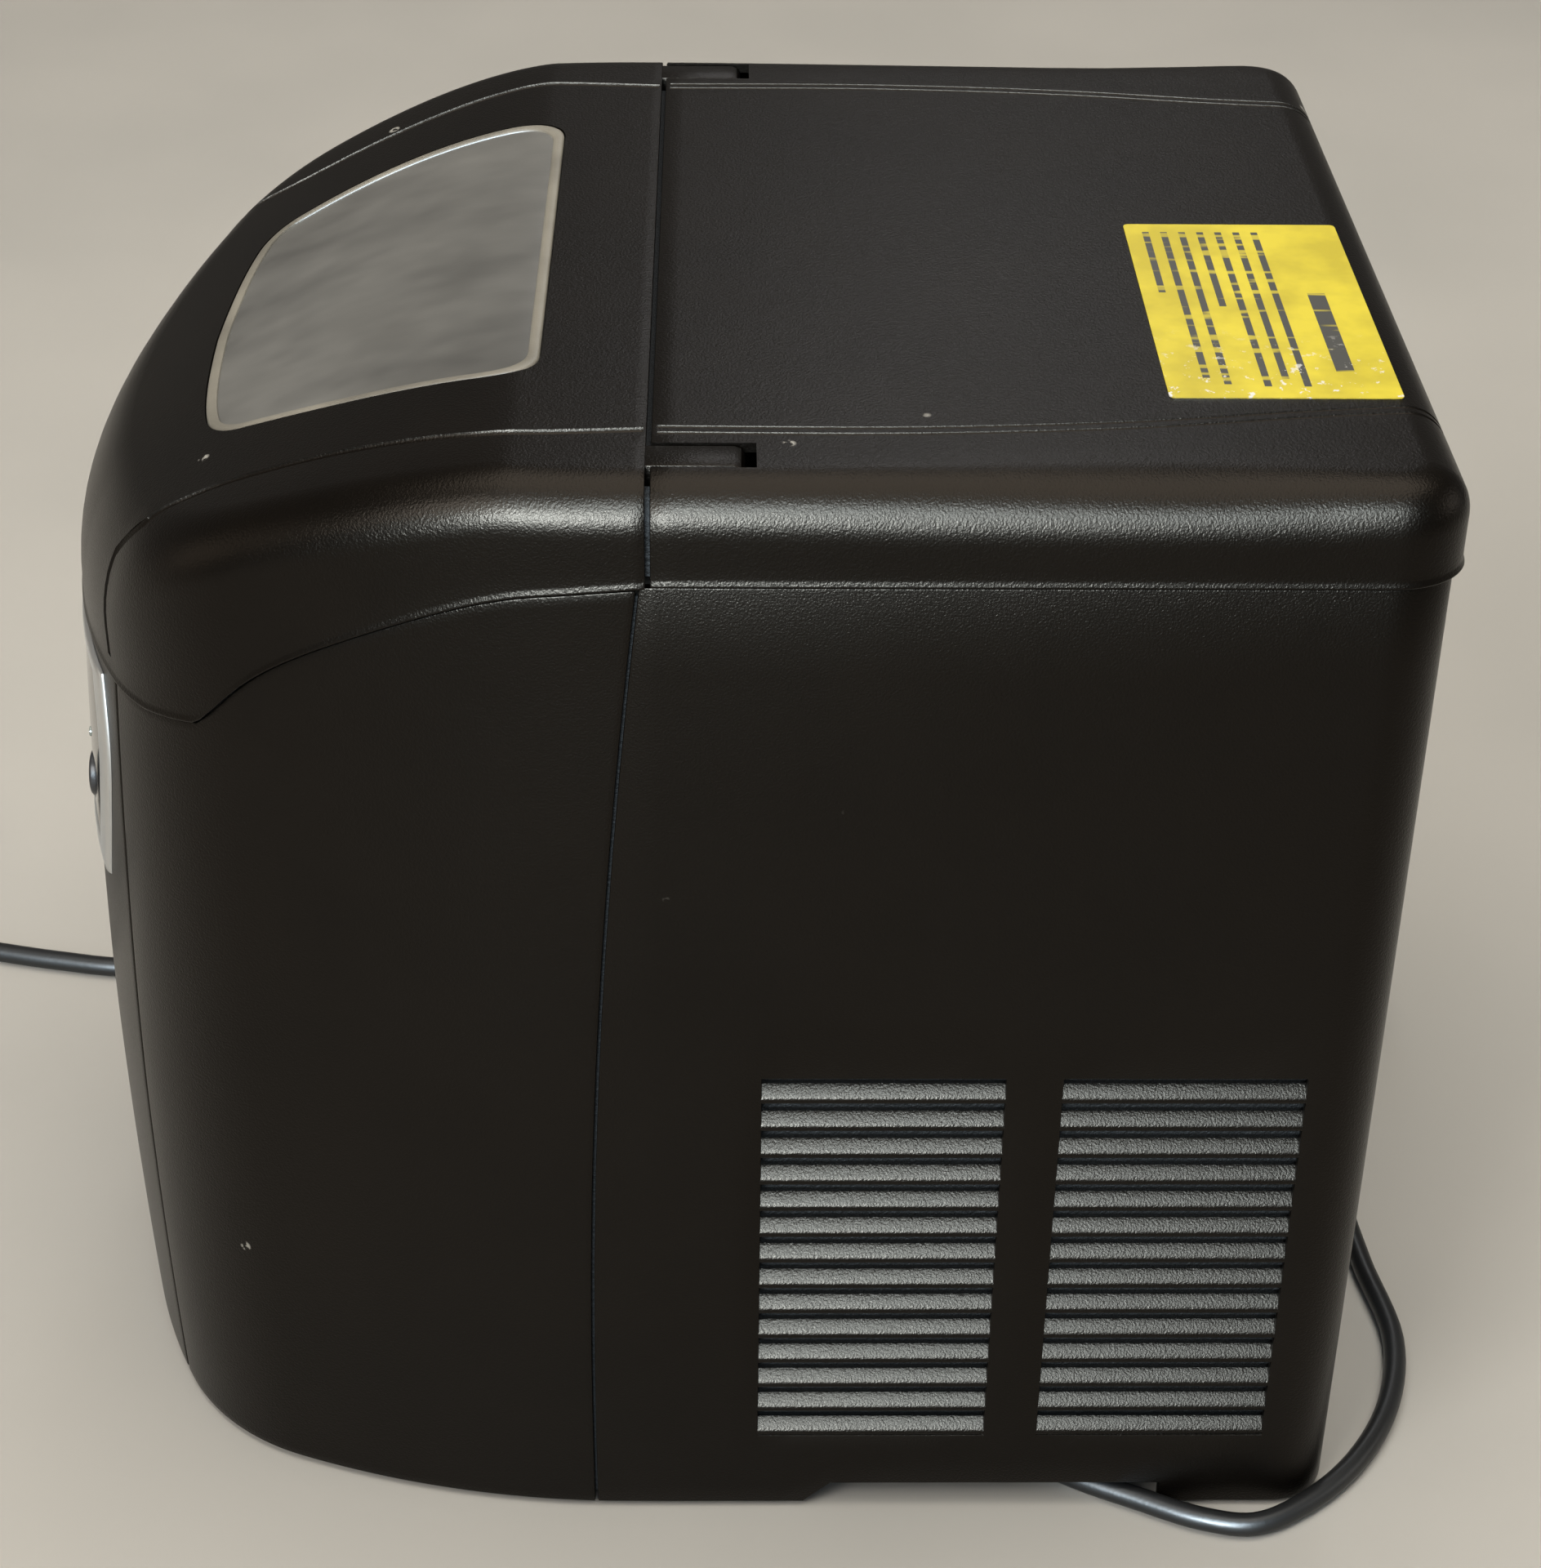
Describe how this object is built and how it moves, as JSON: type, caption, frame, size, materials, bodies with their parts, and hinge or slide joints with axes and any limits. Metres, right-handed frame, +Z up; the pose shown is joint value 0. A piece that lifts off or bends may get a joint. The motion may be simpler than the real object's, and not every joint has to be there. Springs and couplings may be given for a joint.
{
  "type": "countertop ice maker",
  "caption": "Countertop ice maker with a domed hinged lid and window, louvred sides, lift-out ice basket, tilting water tray, compressor cooling and a mains cord.",
  "frame": {"origin": "centre of the footprint's bounding box at floor level, without the cord", "axes": "+X to the right of someone who faces the front, +Y to the back, +Z up; the front with the control panel faces -Y"},
  "size_m": [0.4537, 0.6434, 0.3436],
  "materials": {
    "body": "satin black with a fine texture",
    "window": "smoky grey, frosted",
    "panel": "gloss black",
    "silver": "silver paint",
    "liner": "light grey",
    "foam": "expanded foam",
    "clear": "clear grey",
    "steel": "plain",
    "nickel": "nickel plated",
    "fins": "plain",
    "copper": "bare copper",
    "black_metal": "black enamel",
    "dark_plastic": "black",
    "rubber": "matte black",
    "board": "green laminate",
    "label": "yellow film"
  },
  "bodies": {
    "casing": {"base_pan": "dark_plastic", "front_shell": "body", "rear_housing": "body", "rear_top_cover": "body", "hinge_pin_right": "steel", "hinge_pin_left": "steel", "warning_label": "label", "panel_bezel": "silver", "panel_glass": "panel", "bin_liner": "liner", "foam_insulation": "foam", "evaporator": "nickel", "ice_unit_frame": "liner", "tray_motor": "dark_plastic", "ice_full_sensor": "panel", "water_pump": "dark_plastic", "fill_hose": "clear", "compressor": "black_metal", "compressor_grommet_1": "rubber", "compressor_grommet_2": "rubber", "compressor_grommet_3": "rubber", "compressor_grommet_4": "rubber", "condenser": "fins", "fan_shroud": "dark_plastic", "fan_motor": "dark_plastic", "filter_drier": "copper", "hot_gas_valve": "copper", "discharge_tube": "copper", "suction_tube": "copper", "liquid_line": "copper", "capillary_tube": "copper", "power_board": "board", "display_board": "board", "drain_spout": "liner", "strain_relief": "rubber", "power_cord": "rubber", "cord_coil": "rubber", "cord_plug": "rubber", "rubber_foot_1": "rubber", "rubber_foot_2": "rubber", "rubber_foot_3": "rubber", "rubber_foot_4": "rubber", "rear_screw_1": "steel", "rear_screw_2": "steel", "rear_screw_3": "steel", "rear_screw_4": "steel"},
    "lid": {"lid_frame": "body", "lid_window": "window", "lid_liner": "liner"},
    "power_key": {"power_button": "panel"},
    "size_key": {"size_button": "panel"},
    "clean_key": {"clean_button": "panel"},
    "timer_key": {"timer_button": "panel"},
    "basket": {"ice_basket": "clear"},
    "scoop": {"ice_scoop": "clear"},
    "tray": {"water_tray": "clear"},
    "shovel": {"ice_shovel": "clear"},
    "fan": {"fan_blade": "dark_plastic"},
    "drain_bung": {"drain_cap": "rubber"}
  },
  "joints": [
    {"name": "lid_hinge", "type": "hinge", "parent": "casing", "child": "lid", "pos_m": [0, 0.0015, 0.3385], "axis": [-1, 0, 0], "range_deg": [0, 100]},
    {"name": "power_press", "type": "slide", "parent": "casing", "child": "power_key", "axis": [0, 1, 0], "range_m": [0, 0.0014], "stiffness_N_per_m": 600},
    {"name": "size_press", "type": "slide", "parent": "casing", "child": "size_key", "axis": [0, 1, 0], "range_m": [0, 0.0014], "stiffness_N_per_m": 600},
    {"name": "clean_press", "type": "slide", "parent": "casing", "child": "clean_key", "axis": [0, 1, 0], "range_m": [0, 0.0014], "stiffness_N_per_m": 600},
    {"name": "timer_press", "type": "slide", "parent": "casing", "child": "timer_key", "axis": [0, 1, 0], "range_m": [0, 0.0014], "stiffness_N_per_m": 600},
    {"name": "basket_lift", "type": "slide", "parent": "casing", "child": "basket", "axis": [0, 0, 1], "range_m": [0, 0.03]},
    {"name": "scoop_lift", "type": "slide", "parent": "basket", "child": "scoop", "axis": [0, 0, 1], "range_m": [0, 0.09]},
    {"name": "tray_tilt", "type": "hinge", "parent": "casing", "child": "tray", "pos_m": [0, -0.03, 0.232], "axis": [1, 0, 0], "range_deg": [0, 60]},
    {"name": "shovel_sweep", "type": "hinge", "parent": "casing", "child": "shovel", "pos_m": [0, -0.03, 0.232], "axis": [-1, 0, 0], "range_deg": [0, 96.5]},
    {"name": "fan_spin", "type": "hinge", "parent": "casing", "child": "fan", "pos_m": [0.104, 0.099, 0.091], "axis": [1, 0, 0], "continuous": true},
    {"name": "drain_pull", "type": "slide", "parent": "casing", "child": "drain_bung", "axis": [-1, 0, 0], "range_m": [0, 0.012]}
  ],
  "couplings": [
    {"joint": "shovel_sweep", "follows": "tray_tilt", "ratio": 1.6}
  ]
}
